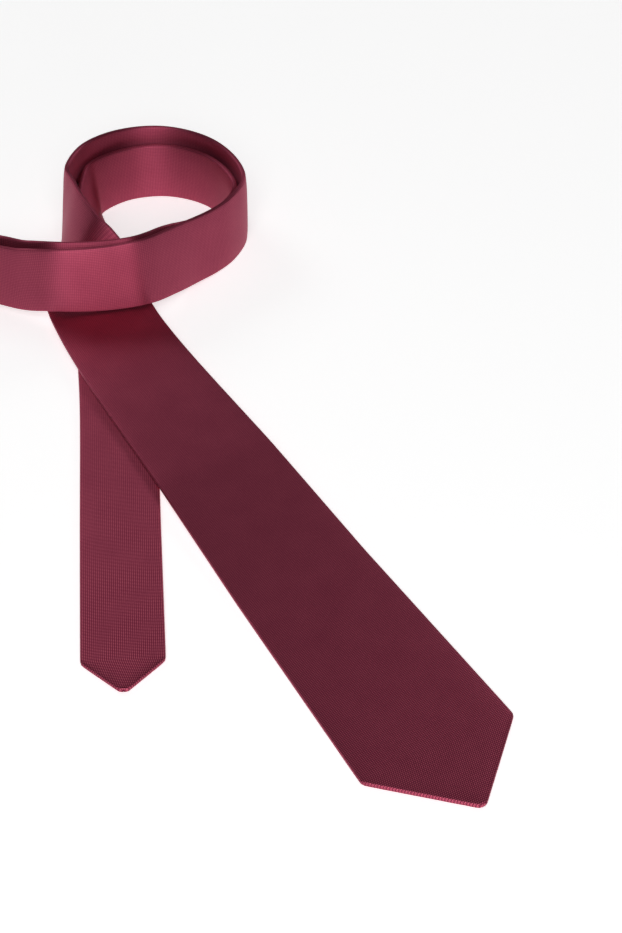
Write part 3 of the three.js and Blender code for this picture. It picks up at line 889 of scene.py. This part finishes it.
def thread_section(s):
    swing = SWING * math.sin(2 * math.pi * s / STITCH_LONG)
    angles = np.radians(np.linspace(0, 360, THREAD_SIDES + 1))
    u = THREAD_MIDDLE + swing + THREAD_RADIUS * np.sin(angles)
    h = -THICK / 2 + THREAD_RADIUS * 1.2 - THREAD_RADIUS * np.cos(angles)
    return np.stack([u, h], axis=1)


def close_ends(piece):
    """Merge the tube's seam and fill its two open ends."""
    bpy.ops.object.mode_set(mode="EDIT")
    bpy.ops.mesh.select_all(action="SELECT")
    bpy.ops.mesh.remove_doubles(threshold=TUBE_MERGE)
    bpy.ops.mesh.select_mode(type="EDGE")
    bpy.ops.mesh.select_all(action="DESELECT")
    bpy.ops.mesh.select_non_manifold()
    bpy.ops.mesh.edge_face_add()
    bpy.ops.mesh.select_all(action="SELECT")
    bpy.ops.mesh.normals_make_consistent(inside=False)
    bpy.ops.object.mode_set(mode="OBJECT")
    bpy.ops.object.shade_smooth_by_angle(angle=CREASE)
    return piece


def sew(name, start, end):
    stations = np.linspace(start, end, round((end - start) / THREAD_STEP))
    return close_ends(lay_cloth(name, stations, thread_section, thread))


front_sewn, tail_sewn = FRONT_TACK + LAP_START, LENGTH - TAIL_TACK - LAP_START
front_thread = sew("front_slip_thread", front_sewn, THREAD_SPLIT)
tail_thread = sew("long_slip_thread", THREAD_SPLIT + GAP, tail_sewn)
print("slip stitch threads:", len(front_thread.data.polygons), len(tail_thread.data.polygons))

# %% [markdown]
# ## Bar tacks, seam stitches, keeper and label
#
# A bar tack is a row of short threads laid side by side where the flaps part, so that the back
# cannot tear open. The keeper loop and the label are small tapes across the back of the front
# blade, each held at both ends by a column of stitches. One rounded stitch is modelled once,
# from a cylinder with bevelled ends, and copied wherever the tie is sewn.

# %% One stitch
STITCH_SIDES = 8


def one_stitch(length, radius):
    """A round stitch along X, with its ends drawn in."""
    bpy.ops.object.select_all(action="DESELECT")
    bpy.ops.mesh.primitive_cylinder_add(
        vertices=STITCH_SIDES, radius=radius, depth=length, rotation=(0, math.pi / 2, 0))
    stitch = bpy.context.object
    bpy.ops.object.transform_apply(location=True, rotation=True, scale=True)
    bpy.ops.object.mode_set(mode="EDIT")
    bpy.ops.mesh.select_all(action="SELECT")
    bpy.ops.mesh.bevel(offset=radius * 0.6, segments=2, affect="EDGES")
    bpy.ops.object.mode_set(mode="OBJECT")
    return stitch


def stitch_points(length, radius):
    stitch = one_stitch(length, radius)
    mesh = stitch.data.copy()
    bpy.data.objects.remove(stitch)
    return mesh


def sew_stitches(name, spots, length, radius, turned=False):
    """Copies of one stitch at spots of (s, u, h), across the tie, or along it when turned."""
    pattern = stitch_points(length, radius)
    copies = []
    for s, u, h in spots:
        mesh = pattern.copy()
        flat = np.empty(len(mesh.vertices) * 3)
        mesh.vertices.foreach_get("co", flat)
        x, y, z = flat.reshape(-1, 3).T
        if turned:
            x, y = y, x
        mesh.vertices.foreach_set("co", place(s + y, u + x, h + z).ravel())
        copy = bpy.data.objects.new(name, mesh)
        bpy.context.collection.objects.link(copy)
        copies.append(copy)
    bpy.ops.object.select_all(action="DESELECT")
    for copy in copies:
        copy.select_set(True)
    bpy.context.view_layer.objects.active = copies[0]
    bpy.ops.object.join()
    bpy.ops.object.mode_set(mode="EDIT")
    bpy.ops.mesh.select_all(action="SELECT")
    bpy.ops.mesh.normals_make_consistent(inside=False)
    bpy.ops.object.mode_set(mode="OBJECT")
    bpy.ops.object.shade_smooth_by_angle(angle=math.radians(60))
    return fresh_object(name, thread)


# %% Bar tacks
TACK_LONG, TACK_STITCHES, TACK_END = 8 * MM, 16, 0.3 * MM
TACK_RADIUS = 0.26 * MM
tacks = {}
for name, at in [("front_tack_stitches", FRONT_TACK), ("tail_tack_stitches", LENGTH - TAIL_TACK)]:
    reach = TACK_LONG / 2 - TACK_END
    rows = np.linspace(at - reach, at + reach, TACK_STITCHES)
    spots = [(row, 0, -THICK / 2 + CLOTH / 2) for row in rows]
    tacks[name] = sew_stitches(name, spots, SLIT - 2 * GAP, TACK_RADIUS)
print("bar tacks:", sorted(tacks))

# %% Neck seam stitches
SEAM_STITCH, SEAM_PITCH, SEAM_RADIUS = 1.3 * MM, 2.2 * MM, 0.16 * MM
SEAM_SUNK, SEAM_END = 0.12 * MM, 1 * MM
seams = {}
for name, seam in [("front_seam_stitches", FRONT_SEAM), ("tail_seam_stitches", TAIL_SEAM)]:
    half = float(half_width(np.array([seam]))[0]) - EDGE_ROLL
    spots = []
    for u in np.arange(-half + SEAM_END, half - SEAM_END, SEAM_PITCH):
        spots.append((seam + SEAM_SLANT * u, u, THICK / 2 - SEAM_SUNK))
    for u in np.arange(SEAM_LAP / 2 + GROOVE + 2 * MM, half - SEAM_END, SEAM_PITCH):
        spots.append((seam + SEAM_SLANT * u, u, -THICK / 2 + SEAM_SUNK))
    seams[name] = sew_stitches(name, spots, SEAM_STITCH, SEAM_RADIUS, turned=True)
print("neck seams:", sorted(seams))

# %% Keeper loop and label
KEEPER_AT, KEEPER_LONG, KEEPER_WIDE = 234 * MM, 12 * MM, 46 * MM
KEEPER_CLOTH, KEEPER_BOW, BOW_RISE = 0.4 * MM, 0.8 * MM, 5 * MM
STITCH_WIDE, STITCH_RADIUS, STITCH_STEP = 2 * MM, 0.2 * MM, 0.9 * MM
STITCH_IN, STITCH_SUNK = 2.5 * MM, 0.12 * MM
FIRST_STITCH, LAST_STITCH = 1.8 * MM, 1.5 * MM


def keeper_section(s):
    end = KEEPER_WIDE / 2
    u = np.linspace(end, -end, 41)
    flat = end - 3 * STITCH_WIDE
    rise = np.clip((flat - np.abs(u)) / BOW_RISE, 0, 1)
    bow = KEEPER_BOW * (rise * rise * (3 - 2 * rise))
    return np.stack([u, BACK - bow], axis=1)


def label_section(s):
    u = np.linspace(LABEL_WIDE / 2, -LABEL_WIDE / 2, 21)
    return np.stack([u, np.full(len(u), BACK)], axis=1)


keeper_stations = np.linspace(KEEPER_AT - KEEPER_LONG / 2, KEEPER_AT + KEEPER_LONG / 2, 11)
keeper = lay_cloth("keeper_strip", keeper_stations, keeper_section, shell_cloth)
thicken(keeper, KEEPER_CLOTH, offset=1.0)
label_stations = np.linspace(LABEL_AT - LABEL_LONG / 2, LABEL_AT + LABEL_LONG / 2, 11)
label = lay_cloth("blank_label", label_stations, label_section, tape)
thicken(label, LABEL_CLOTH, offset=1.0)


def hold_down(name, at, tape_long, tape_wide, cloth, side):
    """A column of short stitches near one end of a tape."""
    middle = side * (tape_wide / 2 - STITCH_IN)
    first, last = at - tape_long / 2 + FIRST_STITCH, at + tape_long / 2 - LAST_STITCH
    spots = [(row, middle, BACK - cloth - GAP - STITCH_SUNK)
             for row in np.arange(first, last, STITCH_STEP)]
    return sew_stitches(name, spots, STITCH_WIDE, STITCH_RADIUS)


hold_stitches = {}
for side, word in [(-1, "left"), (1, "right")]:
    hold_stitches["keeper_tack_" + word] = hold_down(
        "keeper_stitches_" + word, KEEPER_AT, KEEPER_LONG, KEEPER_WIDE, KEEPER_CLOTH, side)
    hold_stitches["label_stitch_" + word] = hold_down(
        "label_stitches_" + word, LABEL_AT, LABEL_LONG, LABEL_WIDE, LABEL_CLOTH, side)
print("stitch groups:", sorted(hold_stitches))

# %% [markdown]
# ## What each piece moves with
#
# The loop is one body, and each blade is another, and each small piece is attached to the body it
# rides on. The ends of the bend where a blade leaves the loop are found as points on the floor,
# but the long pieces that cross that place are not blended: they stay as laid, on no body. Each
# piece hides the solids of the working model it stands for.

# %% Ends of the bends, and the long pieces
def floor_point(s):
    return tuple(float(x) for x in place(s, 0, 0)[0])


LIFT_BEND, SWING_LOOP_SIDE, SWING_BLADE_SIDE = 20 * MM, 18 * MM, 25 * MM
lift_start = floor_point(FRONT_HINGE + LIFT_BEND)
lift_end = floor_point(FRONT_HINGE - LIFT_BEND)
swing_start = floor_point(LENGTH - TAIL_HINGE - SWING_LOOP_SIDE)
swing_end = floor_point(LENGTH - TAIL_HINGE + SWING_BLADE_SIDE)

for piece, nodes, finish in [
    (front_shell, ["front_shell_blade", "front_shell_band"], "shell_cloth"),
    (strips["front_interlining"], ["front_interlining_blade", "front_interlining_band"],
     "interlining"),
    (front_thread, ["front_slip_stitch"], "thread"),
]:
    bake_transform(piece)
    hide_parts(*nodes)

for piece, nodes, finish in [
    (tail_shell, ["tail_shell_band", "tail_shell_blade"], "shell_cloth"),
    (strips["tail_interlining"], ["tail_interlining_band", "tail_interlining_blade"],
     "interlining"),
    (tail_thread, ["neck_slip_stitch", "tail_slip_stitch"], "thread"),
]:
    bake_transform(piece)
    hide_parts(*nodes)

# %% Rides
for piece, body, node, finish in [
    (neck_gusset, "coil", "neck_gusset_shell", "shell_cloth"),
    (seams["front_seam_stitches"], "coil", "front_neck_seam", "thread"),
    (seams["tail_seam_stitches"], "coil", "tail_neck_seam", "thread"),
    (strips["front_tipping_cloth"], "front_blade", "front_tipping", "tipping_cloth"),
    (strips["tail_tipping_cloth"], "tail_blade", "tail_tipping", "tipping_cloth"),
    (tacks["front_tack_stitches"], "front_blade", "front_bar_tack", "thread"),
    (tacks["tail_tack_stitches"], "tail_blade", "tail_bar_tack", "thread"),
    (keeper, "front_blade", "keeper_loop", "shell_cloth"),
    (label, "front_blade", "care_label", "label_tape"),
    *[(piece, "front_blade", node, "thread") for node, piece in hold_stitches.items()],
]:
    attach(piece, body)
    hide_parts(node)

# %% [markdown]
# ## Floor and light
#
# The floor is a plain white sweep that glows a little of itself, so that it is almost white and
# the shadows stay light. The tie is lit as on a product table, with five soft square lamps. A high
# lamp and a weak low one in front light the standing band. Two lamps behind, left and right, give
# the lying blades their shine, and because the cloth is anisotropic the left one shows most on
# the tail blade. A faint lamp overhead and a dim room fill the rest.

# %% Floor
FLOOR_SIZE = 80
FLOOR_GLOW = 0.61
FLOOR_WHITE = 0.9
FLOOR_ROUGH = 0.9
FLOOR_DOWN = 0.1 * MM
bpy.ops.object.select_all(action="DESELECT")
bpy.ops.mesh.primitive_plane_add(size=FLOOR_SIZE, location=(0, 0, -FLOOR_DOWN))
floor = bpy.context.object
floor.name = "floor"
floor_paint, floor_tree = new_material("white_sweep")
floor_shader = shader_of(floor_tree)
floor_shader.inputs["Base Color"].default_value = (FLOOR_WHITE,) * 3 + (1,)
floor_shader.inputs["Emission Color"].default_value = (1, 1, 1, 1)
floor_shader.inputs["Emission Strength"].default_value = FLOOR_GLOW
floor_shader.inputs["Roughness"].default_value = FLOOR_ROUGH
floor_shader.inputs["Specular IOR Level"].default_value = 0.1
floor.data.materials.append(floor_paint)

# %% Lights
def softbox(name, at, aim, size, power):
    """A square lamp at a place, turned towards its aim."""
    bpy.ops.object.light_add(type="AREA", location=at)
    lamp = bpy.context.object
    lamp.name = name
    lamp.data.shape = "SQUARE"
    lamp.data.size = size
    lamp.data.energy = power
    way = np.array(aim, float) - np.array(at, float)
    flat = math.hypot(way[0], way[1])
    turn = math.atan2(way[1], way[0]) - math.pi / 2
    lamp.rotation_euler = (math.pi / 2 - math.atan2(-way[2], flat), 0, turn)
    return lamp


softbox("overhead_lamp", (0, -0.1, 1.6), (0, -0.1, 0), 1.4, 1)
softbox("high_front_lamp", (0, -1.2, 1.3), (0, -0.1, 0), 1.0, 12)
softbox("low_front_lamp", (0.25, -1.1, 0.2), (0.1, -0.3, 0), 0.5, 1.5)
softbox("back_right_lamp", (0.9, 1.2, 0.8), (0.05, -0.2, 0), 0.5, 2.4)
softbox("back_left_lamp", (-1.0, 1.2, 1.1), (0, -0.1, 0), 0.7, 3.8)

SKY = 0.02
world = bpy.context.scene.world or bpy.data.worlds.new("studio")
bpy.context.scene.world = world
world.use_nodes = True
sky = next(n for n in world.node_tree.nodes if n.type == "BACKGROUND")
sky.inputs["Color"].default_value = (1, 1, 1, 1)
sky.inputs["Strength"].default_value = SKY
bpy.context.scene.view_settings.view_transform = "Standard"
